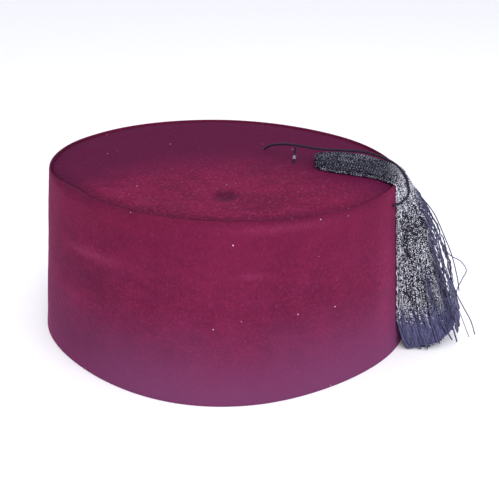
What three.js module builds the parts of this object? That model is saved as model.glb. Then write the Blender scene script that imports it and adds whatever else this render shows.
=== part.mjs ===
// A low velvet fez with a black tassel, in millimetres, +Z up.
// The rim stands on Z = 0, the oval's middle is on the Z axis, and the tassel falls at the +X end.
import * as THREE from 'three';

// The oval outline at the rim and at the top: half its length along X, half its width along Y, and
// pinch, the share by which its four diagonals draw in from a plain ellipse.
const RIM = { halfLength: 98.5, halfWidth: 90, pinch: 0.045 };
const TOP = { halfLength: 89.8, halfWidth: 82, pinch: 0.008 };
const HEIGHT = 90;
const LEAN = 0.02; // how far the top falls for each millimetre towards +X
const WALL = 2.4; // velvet on its stiff felt backing
const GAP = 0.35; // clearance between neighbouring pieces
const AROUND = 88; // points in each oval ring

// The side wall's section, from the middle of its foot up the outside, over the shoulder and down
// the inside. inset is measured inwards from the outline.
const SHOULDER = 1.7;
const LIP_DEPTH = 2.6;
const FOOT_ROUND = 0.5;
const WALL_STEP = 8.2;

// The crown's section: how far its edge is turned down, and how far its middle is sunk.
const CROWN_THICK = 2.2;
const CROWN_DROP = 0.4;
const CROWN_EDGE_DROP = 1.0;
const CROWN_EDGE_ROUND = 1.4;
const CROWN_SINK = 1.4;
const CROWN_RINGS = 12;
const CROWN_UNDER_RINGS = 3;
const DIMPLE = { x: 9, y: -49, radius: 6, depth: 1.1 };

// Soft folds pressed into the wall. angle is the place round the oval in degrees, spread and tall
// are how far the fold reaches each way, and depth is inwards, so a ridge has a negative depth.
const FOLDS = [
  { angle: -136, height: 73, spread: 26, tall: 7, depth: 0.8 },
  { angle: -134, height: 60, spread: 22, tall: 5, depth: -0.7 },
  { angle: -136, height: 48, spread: 24, tall: 6.5, depth: 1.0 },
  { angle: -135, height: 35, spread: 18, tall: 5, depth: -0.6 },
  { angle: -128, height: 22, spread: 20, tall: 7, depth: 0.6 },
  { angle: -62, height: 30, spread: 24, tall: 14, depth: 0.5 },
  { angle: 118, height: 44, spread: 20, tall: 13, depth: 0.9 },
  { angle: 38, height: 58, spread: 16, tall: 12, depth: 0.6 },
];

// The tassel's outer form, section by section from its head on the crown to its ends. Each section
// starts on the hat, at an inset from the outline and a height, and reaches in Y from near to far.
// tip is how far its outward side has turned from up towards +X, and deep is its thickness.
const TASSEL = [
  { inset: 43.0, height: 90.0, near: 1.2, far: 15.4, tip: 0, deep: 4.4 },
  { inset: 39.0, height: 90.0, near: -2.4, far: 16.6, tip: 0, deep: 5.2 },
  { inset: 33.0, height: 90.0, near: -5.4, far: 17.6, tip: 0, deep: 5.6 },
  { inset: 25.0, height: 90.0, near: -8.0, far: 17.8, tip: 0, deep: 5.6 },
  { inset: 17.0, height: 90.0, near: -10.6, far: 15.8, tip: 0, deep: 5.2 },
  { inset: 10.0, height: 90.0, near: -14.0, far: 11.5, tip: 4, deep: 4.4 },
  { inset: 4.8, height: 90.0, near: -18.0, far: 7.2, tip: 14, deep: 3.6 },
  { inset: 1.4, height: 90.0, near: -21.0, far: 4.0, tip: 34, deep: 2.7 },
  { inset: 0.2, height: 89.1, near: -22.6, far: 2.6, tip: 60, deep: 2.9 },
  { inset: 0.0, height: 86.2, near: -23.6, far: 2.6, tip: 80, deep: 4.4 },
  { inset: 0.0, height: 82.0, near: -24.0, far: 3.2, tip: 90, deep: 7.6 },
  { inset: 0.0, height: 77.0, near: -24.4, far: 4.0, tip: 90, deep: 11.6 },
  { inset: 0.0, height: 70.0, near: -24.8, far: 5.0, tip: 90, deep: 15.8 },
  { inset: 0.0, height: 61.0, near: -25.2, far: 6.2, tip: 90, deep: 19.4 },
  { inset: 0.0, height: 51.0, near: -25.6, far: 7.4, tip: 90, deep: 22.8 },
  { inset: 0.0, height: 41.0, near: -26.0, far: 8.6, tip: 90, deep: 25.6 },
  { inset: 0.0, height: 30.0, near: -26.5, far: 9.8, tip: 90, deep: 27.8 },
  { inset: 0.0, height: 19.0, near: -27.0, far: 10.8, tip: 90, deep: 29.6 },
  { inset: 0.0, height: 10.0, near: -27.2, far: 11.2, tip: 90, deep: 28.6 },
  { inset: 0.0, height: 3.0, near: -27.0, far: 10.6, tip: 90, deep: 24.6 },
  { inset: 0.0, height: 0.4, near: -26.2, far: 9.6, tip: 90, deep: 21.0 },
];
const TASSEL_HEADING = -5; // the way the tassel falls away from the hat, in degrees from +X
const TASSEL_ROUND = 2.6; // the power of the section's rounded outer side
const TASSEL_OUTER = 14; // points over the outer side
const TASSEL_INNER = 6; // points along the side next to the hat
const TASSEL_FOOT = 0.1; // the share of its thickness at which a section is widest
const TASSEL_BACK = 0.96; // the width of the side next to the hat, as a share of the widest
const TASSEL_GAP = 0.75; // the space between the tassel and the hat

// The cord comes out of the crown, runs over the stem and along the back of the tassel, crosses the
// tassel where it bends and goes into the wall.
const CORD_DIAMETER = 1.4;
const CORD_SIDES = 8;
const CORD_STEPS = 44;
const CORD_ROUTE = [
  [18.4, 26.0, 89.3],
  [20.0, 24.6, 91.1],
  [22.0, 22.6, 92.7],
  [25.8, 18.8, 94.6],
  [30.2, 15.0, 96.0],
  [35.6, 11.6, 96.8],
  [41.0, 9.6, 96.6],
  [45.2, 9.4, 96.0],
  [49.4, 9.8, 95.5],
  [54.4, 10.6, 95.1],
  [60.6, 11.4, 94.8],
  [67.0, 11.2, 94.7],
  [72.8, 9.8, 94.6],
  [77.6, 7.0, 94.3],
  [81.6, 3.0, 94.2],
  [84.8, -2.0, 94.0],
  [87.5, -7.0, 93.5],
  [89.9, -11.6, 92.1],
  [91.7, -15.0, 90.2],
  [92.3, -18.0, 87.8],
  [92.8, -20.8, 85.7],
  [92.1, -23.6, 83.5],
  [89.8, -26.0, 81.8],
  [87.4, -28.2, 80.9],
  [85.0, -29.6, 80.7],
];

// The stem is the short shank that holds the cord up, with a small knot half way.
const STEM = { foot: [35.0, 6.6, 88.6], head: [36.0, 11.1, 95.6], radius: 0.6, knot: 1.15 };
const STEM_SIDES = 14;

const velvet = { color: 0x7a2048, roughness: 0.95, metalness: 0 };
const crownVelvet = { color: 0x74204a, roughness: 0.95, metalness: 0 };
const blackThread = { color: 0x2c2c40, roughness: 0.55, metalness: 0 };
const blackCord = { color: 0x17141f, roughness: 0.6, metalness: 0 };
const greyThread = { color: 0x3a3a4c, roughness: 0.6, metalness: 0 };

const mix = THREE.MathUtils.lerp;
const radians = THREE.MathUtils.degToRad;

// A point of the oval at a height, drawn in by inset square to the outline, before the lean.
function outlinePoint(angle, height, inset) {
  const share = height / HEIGHT;
  const a = mix(RIM.halfLength, TOP.halfLength, share);
  const b = mix(RIM.halfWidth, TOP.halfWidth, share);
  const pinch = mix(RIM.pinch, TOP.pinch, share);
  const draw = 1 - pinch * Math.sin(2 * angle) ** 2;
  const change = -2 * pinch * Math.sin(4 * angle);
  const c = Math.cos(angle);
  const s = Math.sin(angle);
  const along = new THREE.Vector2(a * (c * change - s * draw), b * (c * draw + s * change));
  along.normalize();
  return new THREE.Vector2(a * c * draw - inset * along.y, b * s * draw + inset * along.x);
}

function leaned(x, y, z) {
  return new THREE.Vector3(x, y, z - (LEAN * x * z) / HEIGHT);
}

// How far the folds press the wall inwards at a place.
function foldDepth(angle, height) {
  let depth = 0;
  for (const fold of FOLDS) {
    const turn = Math.atan2(Math.sin(angle - radians(fold.angle)), Math.cos(angle - radians(fold.angle)));
    const across = turn / radians(fold.spread);
    const up = (height - fold.height) / fold.tall;
    depth += fold.depth * Math.exp(-across * across - up * up);
  }
  return depth;
}

function ovalRing(height, inset, fold) {
  const ring = [];
  for (let i = 0; i < AROUND; i += 1) {
    const angle = (2 * Math.PI * i) / AROUND;
    const pressed = fold ? foldDepth(angle, height) : 0;
    const point = outlinePoint(angle, height, inset + pressed);
    ring.push(leaned(point.x, point.y, height));
  }
  return ring;
}

// Joins rings of points into one closed skin. A ring of one point closes an end, and loop joins the
// last ring to the first.
function skin(rings, loop) {
  const positions = [];
  const starts = [];
  for (const ring of rings) {
    starts.push(positions.length / 3);
    for (const point of ring) {
      positions.push(point.x, point.y, point.z);
    }
  }
  const index = [];
  const joins = loop ? rings.length : rings.length - 1;
  for (let i = 0; i < joins; i += 1) {
    const next = (i + 1) % rings.length;
    const low = rings[i].length;
    const high = rings[next].length;
    const count = Math.max(low, high);
    for (let j = 0; j < count; j += 1) {
      const k = (j + 1) % count;
      const lowHere = starts[i] + (low > 1 ? j : 0);
      const lowNext = starts[i] + (low > 1 ? k : 0);
      const highHere = starts[next] + (high > 1 ? j : 0);
      const highNext = starts[next] + (high > 1 ? k : 0);
      if (low > 1) {
        index.push(lowHere, lowNext, highNext);
      }
      if (high > 1) {
        index.push(lowHere, highNext, highHere);
      }
    }
  }
  const geometry = new THREE.BufferGeometry();
  geometry.setAttribute('position', new THREE.Float32BufferAttribute(positions, 3));
  geometry.setIndex(index);
  geometry.computeVertexNormals();
  return geometry;
}

function named(name, geometry, finish) {
  const mesh = new THREE.Mesh(geometry, new THREE.MeshStandardMaterial(finish));
  mesh.name = name;
  return mesh;
}

function sideWall() {
  const rings = [ovalRing(0, FOOT_ROUND, true), ovalRing(FOOT_ROUND, 0, true)];
  const shoulderFoot = HEIGHT - SHOULDER;
  for (let z = WALL_STEP; z < shoulderFoot - WALL_STEP / 2; z += WALL_STEP) {
    rings.push(ovalRing(z, 0, true));
  }
  for (const turn of [0, 25, 50, 75]) {
    const inset = SHOULDER * (1 - Math.cos(radians(turn)));
    rings.push(ovalRing(shoulderFoot + SHOULDER * Math.sin(radians(turn)), inset, false));
  }
  rings.push(ovalRing(HEIGHT - 0.2, SHOULDER - 0.3, false));
  rings.push(ovalRing(HEIGHT - 0.8, SHOULDER, false));
  rings.push(ovalRing(HEIGHT - LIP_DEPTH - 0.8, SHOULDER, false));
  rings.push(ovalRing(HEIGHT - LIP_DEPTH - 2.6, WALL, false));
  const innerTop = HEIGHT - LIP_DEPTH - 2.6 - WALL_STEP;
  for (let z = innerTop; z > WALL_STEP; z -= WALL_STEP) {
    rings.push(ovalRing(z, WALL, true));
  }
  rings.push(ovalRing(FOOT_ROUND, WALL, true));
  rings.push(ovalRing(0, WALL - FOOT_ROUND, true));
  return named('side_wall', skin(rings, true), velvet);
}

// The height of the crown's upper side, sunk in the middle and dimpled.
function crownHeight(x, y) {
  const out = Math.hypot(x / TOP.halfLength, y / TOP.halfWidth);
  const sunk = CROWN_SINK * (1 - Math.min(1, out) ** 2);
  const away = Math.hypot(x - DIMPLE.x, y - DIMPLE.y) / DIMPLE.radius;
  return HEIGHT - LEAN * x - CROWN_DROP - sunk - DIMPLE.depth * Math.exp(-away * away);
}

function crownRing(inset, share, drop) {
  const ring = [];
  for (let i = 0; i < AROUND; i += 1) {
    const edge = outlinePoint((2 * Math.PI * i) / AROUND, HEIGHT, inset);
    const x = edge.x * share;
    const y = edge.y * share;
    ring.push(new THREE.Vector3(x, y, crownHeight(x, y) - drop));
  }
  return ring;
}

function crown() {
  const edge = SHOULDER + GAP;
  const flat = edge + CROWN_EDGE_ROUND;
  const rings = [[new THREE.Vector3(0, 0, crownHeight(0, 0) - CROWN_THICK)]];
  for (let i = 1; i <= CROWN_UNDER_RINGS; i += 1) {
    rings.push(crownRing(flat, i / CROWN_UNDER_RINGS, CROWN_THICK));
  }
  rings.push(crownRing(edge, 1, CROWN_THICK - 0.3));
  rings.push(crownRing(edge, 1, CROWN_EDGE_DROP));
  rings.push(crownRing(edge + 0.35 * CROWN_EDGE_ROUND, 1, 0.4 * CROWN_EDGE_DROP));
  for (let i = CROWN_RINGS; i >= 1; i -= 1) {
    rings.push(crownRing(flat, i / CROWN_RINGS, 0));
  }
  rings.push([new THREE.Vector3(0, 0, crownHeight(0, 0))]);
  return named('crown', skin(rings, false), crownVelvet);
}

// The place round the oval, at its +X end, where an inset outline has a given y.
function angleAt(y, height, inset) {
  let low = -Math.PI / 2;
  let high = Math.PI / 2;
  for (let i = 0; i < 30; i += 1) {
    const middle = (low + high) / 2;
    if (outlinePoint(middle, height, inset).y < y) {
      low = middle;
    } else {
      high = middle;
    }
  }
  return (low + high) / 2;
}

// A point of a tassel section, at a given y on the hat and a distance out from the hat.
function tasselPoint(row, y, out) {
  const edge = outlinePoint(angleAt(y, row.height, row.inset), row.height, row.inset);
  const straight = outlinePoint(0, row.height, row.inset);
  edge.x = mix(edge.x, straight.x, Math.min(1, row.inset / TASSEL[0].inset));
  const point = leaned(edge.x, edge.y, row.height);
  if (row.inset > SHOULDER) {
    point.z = crownHeight(edge.x, edge.y);
  }
  const heading = radians(TASSEL_HEADING);
  const tip = radians(row.tip);
  const outward = new THREE.Vector3(Math.cos(heading), Math.sin(heading), 0);
  outward.multiplyScalar(Math.sin(tip));
  outward.z = Math.cos(tip);
  return point.addScaledVector(outward, TASSEL_GAP + out);
}

function tasselSection(row) {
  const middle = (row.near + row.far) / 2;
  const half = (row.far - row.near) / 2;
  const section = [];
  for (let i = 0; i <= TASSEL_OUTER; i += 1) {
    const turn = (Math.PI * i) / TASSEL_OUTER;
    const c = Math.cos(turn);
    const side = Math.sign(c) * Math.abs(c) ** (2 / TASSEL_ROUND);
    const bulge = TASSEL_FOOT + (1 - TASSEL_FOOT) * Math.sin(turn) ** (2 / TASSEL_ROUND);
    section.push(tasselPoint(row, middle + half * side, row.deep * bulge));
  }
  for (let i = 0; i <= TASSEL_INNER; i += 1) {
    const side = TASSEL_BACK * ((2 * i) / TASSEL_INNER - 1);
    section.push(tasselPoint(row, middle + half * side, 0));
  }
  return section;
}

function middleOf(ring) {
  const middle = new THREE.Vector3();
  for (const point of ring) {
    middle.add(point);
  }
  return middle.divideScalar(ring.length);
}

function tassel() {
  const sections = TASSEL.map(tasselSection);
  const rings = [[middleOf(sections[0])], ...sections, [middleOf(sections.at(-1))]];
  return named('tassel', skin(rings, false), blackThread);
}

function cord() {
  const points = CORD_ROUTE.map(([x, y, z]) => new THREE.Vector3(x, y, z));
  const section = new THREE.Shape();
  section.setFromPoints(
    Array.from({ length: CORD_SIDES }, (_, i) => {
      const turn = (2 * Math.PI * i) / CORD_SIDES;
      return new THREE.Vector2(Math.cos(turn), Math.sin(turn)).multiplyScalar(CORD_DIAMETER / 2);
    }),
  );
  const extrudePath = new THREE.CatmullRomCurve3(points, false, 'centripetal');
  return named('cord', new THREE.ExtrudeGeometry(section, { steps: CORD_STEPS, extrudePath }), blackCord);
}

function stem() {
  const foot = new THREE.Vector3(...STEM.foot);
  const head = new THREE.Vector3(...STEM.head);
  const length = foot.distanceTo(head);
  const rows = [
    { share: 0, radius: 0 },
    { share: 0, radius: STEM.radius * 1.5 },
    { share: 0.1, radius: STEM.radius },
    { share: 0.32, radius: STEM.radius },
    { share: 0.38, radius: STEM.knot * 0.86 },
    { share: 0.46, radius: STEM.knot },
    { share: 0.54, radius: STEM.knot * 0.86 },
    { share: 0.6, radius: STEM.radius },
    { share: 0.94, radius: STEM.radius },
    { share: 1, radius: STEM.radius * 0.7 },
    { share: 1, radius: 0 },
  ];
  const profile = rows.map((row) => new THREE.Vector2(row.radius, row.share * length));
  const mesh = named('stem', new THREE.LatheGeometry(profile, STEM_SIDES), greyThread);
  mesh.position.copy(foot);
  mesh.quaternion.setFromUnitVectors(new THREE.Vector3(0, 1, 0), head.sub(foot).normalize());
  return mesh;
}

const fez = new THREE.Group();
fez.add(sideWall(), crown(), tassel(), cord(), stem());

export default fez;
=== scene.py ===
"""A burgundy velvet fez with a black thread tassel, a cord and its stem, on a pale studio floor."""

import math
from collections import namedtuple

import bpy
import numpy as np
from bpy.props import FloatProperty, FloatVectorProperty, IntProperty, PointerProperty
from bpy.types import Operator, Panel, PropertyGroup
from mathutils import Euler, Matrix, Vector, noise


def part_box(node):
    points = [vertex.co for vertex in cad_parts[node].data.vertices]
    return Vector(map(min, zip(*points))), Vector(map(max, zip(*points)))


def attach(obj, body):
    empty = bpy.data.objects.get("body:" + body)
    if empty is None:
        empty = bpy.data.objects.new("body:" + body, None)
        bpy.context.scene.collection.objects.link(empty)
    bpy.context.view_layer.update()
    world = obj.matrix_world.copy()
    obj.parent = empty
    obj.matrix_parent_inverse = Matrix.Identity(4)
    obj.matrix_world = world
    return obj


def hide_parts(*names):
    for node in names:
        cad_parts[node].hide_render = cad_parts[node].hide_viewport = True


bl_info = {
    "name": "Fez hat",
    "version": (1, 0, 0),
    "blender": (4, 5, 0),
    "location": "3D View > Sidebar > Fez",
    "description": "Makes a velvet fez with its tassel, cord and stem",
    "category": "Add Mesh",
}

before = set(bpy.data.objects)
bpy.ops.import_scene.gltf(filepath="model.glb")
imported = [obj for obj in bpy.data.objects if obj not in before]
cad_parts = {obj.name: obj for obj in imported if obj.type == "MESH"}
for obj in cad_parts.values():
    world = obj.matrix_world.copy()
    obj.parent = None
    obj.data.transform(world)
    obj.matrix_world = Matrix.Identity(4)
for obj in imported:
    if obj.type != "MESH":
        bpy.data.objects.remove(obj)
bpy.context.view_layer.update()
WALL_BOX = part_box("side_wall")
CROWN_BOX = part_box("crown")
MM = 0.001

# The oval of the hat, as the frame has it.
HEIGHT = 90.0 * MM
LEAN = 0.02  # how far the +X side of the top is lower, for each metre of X
SEAM_INSET = 1.7 * MM
SEAM_GAP = 0.35 * MM
RIM_HALF = (WALL_BOX[1][0], WALL_BOX[1][1])
TOP_HALF = (CROWN_BOX[1][0] + SEAM_INSET + SEAM_GAP, CROWN_BOX[1][1] + SEAM_INSET + SEAM_GAP)
RIM_PINCH = 0.045  # how far the oval is drawn in between its two axes, as a share
TOP_PINCH = 0.008
AROUND = 480  # points round the wall and the crown
SHOULDER = 2.6 * MM  # radius of the wall's rounded top
CROWN_TURN = 2.6 * MM  # radius of the crown's turned-down edge
DIMPLE = (5.5 * MM, -46 * MM)  # the middle of the soft spot on the crown

# Soft folds in the wall: angle and spread in degrees, height, tallness and depth in millimetres.
FOLDS = (
    (-128, 17, 70, 5.5, 0.5),
    (-128, 17, 59, 5.5, -0.5),
    (-136, 13, 43, 5.5, 0.35),
    (-136, 13, 33, 5.5, -0.35),
    (-77, 8, 68, 4, 0.25),
    (-62, 24, 30, 14, 0.4),
    (118, 20, 44, 13, 0.9),
    (38, 16, 58, 12, 0.6),
)

# Painted highlights along the ridges of the wall's folds, or painted shade in their hollows below 0,
# partly brushed pile; the tall band at -25 degrees lightens the wall where the tassel's shadow falls:
# angle and spread in degrees, height and tallness in millimetres, strength.
PAINTED_LIGHT_STREAKS = (
    (-128, 15, 64, 3.2, 0.7),
    (-136, 12, 37.5, 4.0, 0.4),
    (-77, 7, 64, 1.6, 0.5),
    (-68, 20, 85.5, 2.6, 0.5),
    (-134, 14, 52, 6, -0.7),
    (-112, 14, 76, 6, -0.4),
    (-138, 26, 16, 16, -0.6),
    (-25, 8, 40, 45, 0.55),
    (110, 22, 38, 8, 0.6),
    (30, 14, 50, 7, -0.5),
)

# Where the crown's seam wanders in from the edge, or out below 0: angle and spread in degrees, extra
# inset in millimetres.
SEAM_WANDER = ((-139, 10, 2.4), (-120, 7, 1.0), (-163, 11, -0.9), (60, 20, 0.6), (150, 14, 0.8))
# The seam's painted shade runs in as far as its crushed pile.
SEAM_REACH = 4.6 * MM  # how far the crushed pile of the seam runs into the crown

# The tassel's form in millimetres: inset and height where a section starts on the hat, its near and
# far side in Y, how far it has turned outwards in degrees, and its thickness.
TASSEL = np.array([
    (43.0, 90.0, 1.2, 15.4, 0, 4.4),
    (39.0, 90.0, -2.4, 16.6, 0, 5.2),
    (33.0, 90.0, -5.4, 17.6, 0, 5.6),
    (25.0, 90.0, -8.0, 17.8, 0, 5.6),
    (17.0, 90.0, -10.6, 15.8, 0, 5.2),
    (10.0, 90.0, -14.0, 11.5, 4, 4.4),
    (4.8, 90.0, -18.0, 7.2, 14, 3.6),
    (1.4, 90.0, -21.0, 4.0, 34, 2.7),
    (0.2, 89.1, -22.6, 2.6, 60, 2.9),
    (0.0, 86.2, -23.6, 2.6, 80, 4.4),
    (0.0, 82.0, -24.0, 3.2, 90, 7.6),
    (0.0, 77.0, -24.4, 4.0, 90, 11.6),
    (0.0, 70.0, -24.8, 5.0, 90, 15.8),
    (0.0, 61.0, -25.2, 6.2, 90, 19.4),
    (0.0, 51.0, -25.6, 7.4, 90, 22.8),
    (0.0, 41.0, -26.0, 8.6, 90, 25.6),
    (0.0, 30.0, -26.5, 9.8, 90, 27.8),
    (0.0, 19.0, -27.0, 10.8, 90, 29.8),
    (0.0, 10.0, -27.2, 11.2, 90, 30.6),
    (0.0, 3.0, -27.0, 11.2, 90, 30.8),
    (0.0, 0.4, -27.0, 11.2, 90, 30.8),
])
TASSEL_HEADING = math.radians(-5)  # the way the fall stands out from the wall, from +X
TASSEL_ROUND = 2.6  # how square a section is: 2 is an ellipse
TASSEL_FOOT = 0.02  # thickness at the two edges of a section, as a share
TASSEL_CLEAR = 0.45 * MM  # between the hat and the tassel
TASSEL_SEED = 21
OUTLINE_POINTS = 90
BEND_ROW = 6  # the row from which the tassel turns down
THREAD_STEP = 0.8 * MM
WAVE_START = 6.28  # a wave starts anywhere in about one turn
CAMERA_AIM = (0.0131, 0.0, 0.0411)
CAMERA_DISTANCE = 0.4792
CAMERA_HEADING = 4.63  # degrees round from the front, towards +X
CAMERA_HEIGHT = 23.84  # degrees above the floor
CAMERA_ROLL = 0.58
FLOOR_HALF = 15.0
FLOOR_Z = -0.02 * MM

# The lamps: name, place, aim, width and depth, power and tint.
LAMPS = (
    ("key", (0.1, -0.85, 0.9), (0, 0, 0.05), (0.6, 0.5), 6.5, (1.0, 0.98, 0.96)),
    ("fill", (0.8, -0.5, 0.6), (0, 0, 0.05), (0.8, 0.6), 2.5, (0.95, 0.96, 1.0)),
    ("top", (0.15, -0.2, 1.0), (0.08, 0, 0.05), (0.4, 0.4), 1.5, (1.0, 1.0, 1.0)),
)

# The cord's way, in metres: out of the crown, over the stem, along the back of the tassel's head,
# across the bend and to the wall.
CORD_ROUTE = np.array([
    (0.0184, 0.0260, 0.0893),
    (0.0200, 0.0246, 0.0911),
    (0.0220, 0.0226, 0.0927),
    (0.0258, 0.0188, 0.0946),
    (0.0302, 0.0150, 0.0960),
    (0.0356, 0.0116, 0.0968),
    (0.0410, 0.0096, 0.0966),
    (0.0452, 0.0094, 0.0960),
    (0.0494, 0.0098, 0.0955),
    (0.0544, 0.0106, 0.0951),
    (0.0606, 0.0114, 0.0948),
    (0.0670, 0.0112, 0.0947),
    (0.0728, 0.0098, 0.0946),
    (0.0776, 0.0070, 0.0943),
    (0.0816, 0.0030, 0.0942),
    (0.0848, -0.0020, 0.0940),
    (0.0875, -0.0070, 0.0935),
    (0.0899, -0.0116, 0.0921),
    (0.0917, -0.0150, 0.0902),
    (0.0923, -0.0180, 0.0878),
    (0.0928, -0.0208, 0.0857),
    (0.0921, -0.0236, 0.0835),
    (0.0898, -0.0260, 0.0818),
    (0.0874, -0.0282, 0.0809),
    (0.0850, -0.0296, 0.0807),
])
STEM_FOOT = np.array((0.0350, 0.0066, 0.0886))
STEM_HEAD = np.array((0.0360, 0.0111, 0.0956))
KNOT_PLACE = 0.34  # as a share of the stem, from its foot
KNOT_TURNS = 3.6

# Threads that have sprung out of the fall: diameter and way, in millimetres.
STRAYS = (
    (0.5, ((112, -12, 56), (117, -12, 48.5), (123, -12, 45), (126.5, -12, 40), (125, -12, 35),
           (123, -12, 29), (123, -12, 25))),
    (0.6, ((119, -12, 36), (122.5, -12, 27), (127, -12, 19), (132, -12, 10.5), (135, -12, 2.5))),
    (0.4, ((124.5, -12, 18), (128.5, -12, 9), (132, -12, 1))),
    (0.8, ((119, -18, 18), (122.5, -18, 8), (125, -18, 1))),
    (0.8, ((116, -20, 15), (119, -20, 8), (122, -20, 3))),
    (0.7, ((95.5, -27, 8), (96.5, -27, 4), (98, -27, 1))),
    (0.9, ((94.5, -25, 7.5), (98, -25, 2.5), (104, -24.5, 1), (110.5, -24, 1))),
    (0.6, ((99.5, -12, 80), (107, -12, 71), (113, -12, 59.5), (118.5, -12, 47.5), (122.5, -12, 35),
           (124, -12, 28))),
)

# The loose strands down the outside of the fall: the share across it, and how far out they hang at
# six heights, 0 at the body of the tassel and 1 at its outer form.
LOOSE_HEIGHTS = np.array((76.0, 62.0, 52.0, 42.0, 30.0, 14.0))
LOOSE = (
    (-0.93, (0.60, 0.95, 1.00, 1.00, 0.98, 0.96)),
    (-0.90, (0.10, 0.70, 0.62, 0.66, 0.70, 0.98)),
    (-0.82, (0.70, 0.80, 0.90, 0.74, 0.96, 0.92)),
    (-0.70, (0.00, 0.00, 0.05, 0.85, 0.94, 0.96)),
    (-0.55, (0.50, 0.90, 0.78, 0.60, 0.05, 0.00)),
    (-0.30, (0.60, 0.96, 0.98, 0.92, 0.88, 0.90)),
    (-0.10, (0.00, 0.85, 0.05, 0.00, 0.05, 0.00)),
    (0.10, (0.60, 0.70, 0.98, 0.96, 0.80, 0.94)),
    (0.40, (0.30, 0.94, 0.66, 0.90, 0.60, 0.00)),
    (0.70, (0.20, 0.80, 0.96, 0.80, 0.70, 0.95)),
    (-0.76, (0.50, 0.10, 0.70, 0.10, 0.80, 0.92)),
    (-0.62, (0.60, 0.70, 0.10, 0.70, 0.90, 0.97)),
)
LOOSE_FROM = 10  # the row where they leave the body of the fall
# How thick that body is in each row, as a share of the outer form.
BODY_SHARE = np.array([1.0] * 11 + [0.93, 0.84, 0.72, 0.71, 0.74, 0.80, 0.84, 0.92, 0.97, 0.97])
CORE_STEPPED_FROM = 12  # the row from which the core's end follows the stepped ends of the threads
# How far the fall's inner side stands off the wall at each height, as a share of its thickness.
STAND_OFF_Z = np.array((0.0, 3.0, 10.0, 19.0))
STAND_OFF = np.array((0.26, 0.15, 0.07, 0.0))
HEAD_ROWS = 44  # the threads lie in this many rows over the tassel's head
# What is held along a thread: its number, the share of its beads that carry a painted glint, how
# evenly those take turns, how bright the painted glints are, and how slate the thread is.
THREAD_MARKS = ("strand", "lively", "even", "glint", "slate")
# Where the fall's painted glints end and its slate outer side starts: height and X in millimetres.
EDGE_Z = np.array((88.0, 84.0, 79.0, 73.0, 66.0, 53.0, 40.0, 27.0, 15.0))
EDGE_X = np.array((93.0, 95.0, 97.2, 99.8, 102.3, 105.0, 108.4, 112.4, 115.4))
# The fall's ends step up at its outer side: X and the height of the ends, in millimetres.
ENDS_X = np.array((108.0, 114.0, 117.5, 121.0, 124.0, 126.5))
ENDS_Z = np.array((0.8, 2.2, 4.6, 7.0, 11.0, 15.0))


def srgb(red, green, blue):
    """A display colour of 0 to 255 as the linear numbers that a shader takes."""
    shares = [value / 255 for value in (red, green, blue)]
    return tuple(s / 12.92 if s <= 0.04045 else ((s + 0.055) / 1.055) ** 2.4 for s in shares)


SHEEN_TINT = srgb(208, 104, 172)
PILE_COOL = srgb(98, 34, 76)
PILE_BRIGHT = srgb(158, 52, 92)
PILE_PARTED = srgb(62, 10, 38)
FLECK = srgb(180, 78, 118)
DUST = srgb(196, 104, 144)
PAINTED_HIGHLIGHT = srgb(168, 66, 108)
PAINTED_SHADE = srgb(52, 14, 42)
SEAM_SHADE = srgb(40, 7, 28)
LINT_PALE = srgb(238, 200, 214)
WALL_TOP = srgb(100, 19, 50)
DIMPLE_SHADE = srgb(48, 10, 34)
FELT_WORN = srgb(108, 40, 70)
CORE_DARK = srgb(14, 14, 26)
CORD_WORN = srgb(38, 31, 52)
KNOT_DARK = srgb(92, 82, 98)
KNOT_PALE = srgb(150, 138, 150)
FLOOR_PALE = srgb(244, 244, 246)
SKY_PALE = (0.93, 0.94, 1.0)


def colour_property(name, description, default):
    return FloatVectorProperty(
        name=name, description=description, default=default, min=0.0, max=1.0, size=3, subtype="COLOR"
    )


def length_property(name, description, default):
    return FloatProperty(name=name, description=description, default=default, unit="LENGTH")


class FEZ_PG_sizes(PropertyGroup):
    """The sizes that a user would change"""

    wall_thickness: length_property("Wall", "Thickness of the side wall", 2.4 * MM)
    crown_thickness: length_property("Crown", "Thickness of the crown", 2.2 * MM)
    crown_sink: length_property("Crown sink", "How far the middle of the crown sinks", 1.4 * MM)
    thread_width: length_property("Thread", "Width of one twisted thread in the fall", 0.56 * MM)
    head_thread_width: length_property("Head thread", "Width of a thread in the head", 0.66 * MM)
    thread_turn: length_property("Thread turn", "Length of one bead of a thread's twist", 0.5 * MM)
    cord_width: length_property("Cord", "Width of the cord", 1.4 * MM)
    long_threads: IntProperty(name="Long threads", description="Threads from the head down", default=116)
    fall_threads: IntProperty(name="Fall threads", description="Threads from the bend down", default=160)
    under_threads: IntProperty(name="Under threads", description="Threads of the layer below", default=90)


class FEZ_PG_finishes(PropertyGroup):
    """The colours and the lens that a user would change"""

    velvet: colour_property("Velvet", "Pile of the side wall", srgb(108, 28, 62))
    velvet_deep: colour_property("Velvet, deep", "Pile brushed away from the light", srgb(92, 24, 54))
    # The lower wall's tint is painted bounce light from the pale floor.
    velvet_floor_bounce: colour_property("Velvet, floor bounce", "Pile low on the wall", srgb(106, 55, 92))
    crown_front: colour_property("Crown, front", "Pile at the front of the crown", srgb(108, 20, 57))
    crown_deep: colour_property("Crown, deep", "Flat pile at the front of the crown", srgb(88, 15, 46))
    crown_back: colour_property("Crown, back", "Pile at the back of the crown", srgb(76, 12, 48))
    felt: colour_property("Felt", "Inside of the hat", srgb(84, 26, 52))
    thread_dark: colour_property("Thread", "Ground of the tassel's threads", srgb(14, 14, 34))
    thread_slate: colour_property("Thread, slate", "Ends of the tassel's threads", srgb(75, 74, 106))
    thread_glint: colour_property("Thread, glint", "Bright turns of a thread", srgb(238, 238, 250))
    cord: colour_property("Cord", "The cord", srgb(24, 17, 34))
    lens: FloatProperty(name="Lens", description="Focal length", default=64.3, unit="CAMERA")


# Shader nodes


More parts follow.
